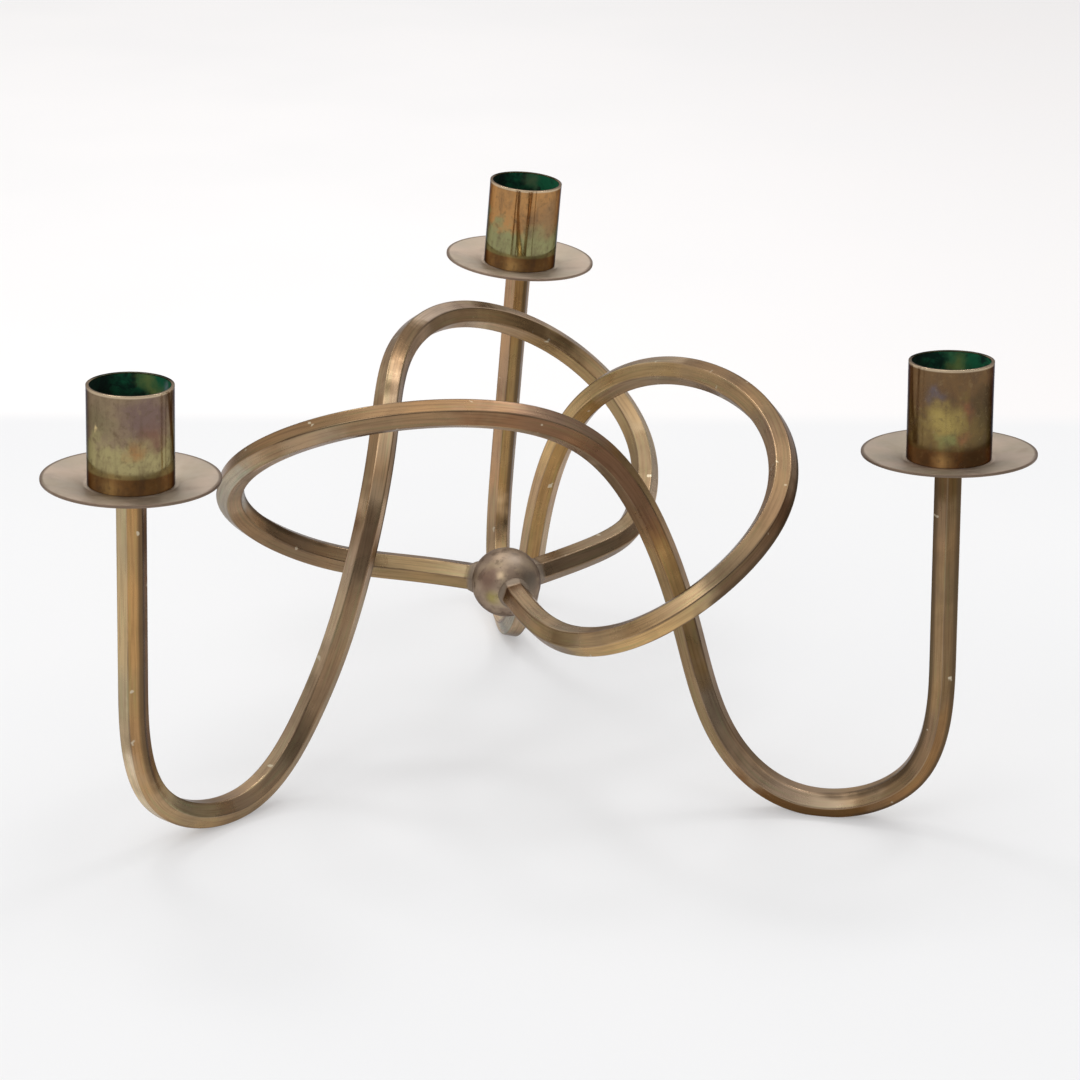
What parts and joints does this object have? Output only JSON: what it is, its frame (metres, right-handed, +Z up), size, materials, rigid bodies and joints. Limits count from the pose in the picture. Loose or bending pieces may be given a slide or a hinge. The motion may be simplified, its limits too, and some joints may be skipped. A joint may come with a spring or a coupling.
{
  "type": "candelabra",
  "caption": "Candelabra of hexagonal brass bars: each arm loops out of a central ball, rests on its own rounded foot and rises to a drip pan and candle cup.",
  "frame": {"origin": "middle of the footprint, on the table that the feet stand on", "axes": "+Z up; +X towards the right-hand candle's side, -Y towards the front"},
  "size_m": [0.2916, 0.2682, 0.1566],
  "materials": {
    "bar_brass": "worn satin, aged",
    "hub_brass": "worn satin, aged",
    "pan_brass": "dull, pinkish grey",
    "cup_brass": "glossy, mottled",
    "screw_brass": "dull, tarnished"
  },
  "bodies": {
    "root": {"hub_ball": "hub_brass", "arm_back": "bar_brass", "drip_pan_back": "pan_brass", "candle_cup_back": "cup_brass", "cup_screw_back": "screw_brass", "arm_right": "bar_brass", "drip_pan_right": "pan_brass", "candle_cup_right": "cup_brass", "cup_screw_right": "screw_brass", "arm_left": "bar_brass", "drip_pan_left": "pan_brass", "candle_cup_left": "cup_brass", "cup_screw_left": "screw_brass"}
  },
  "joints": []
}
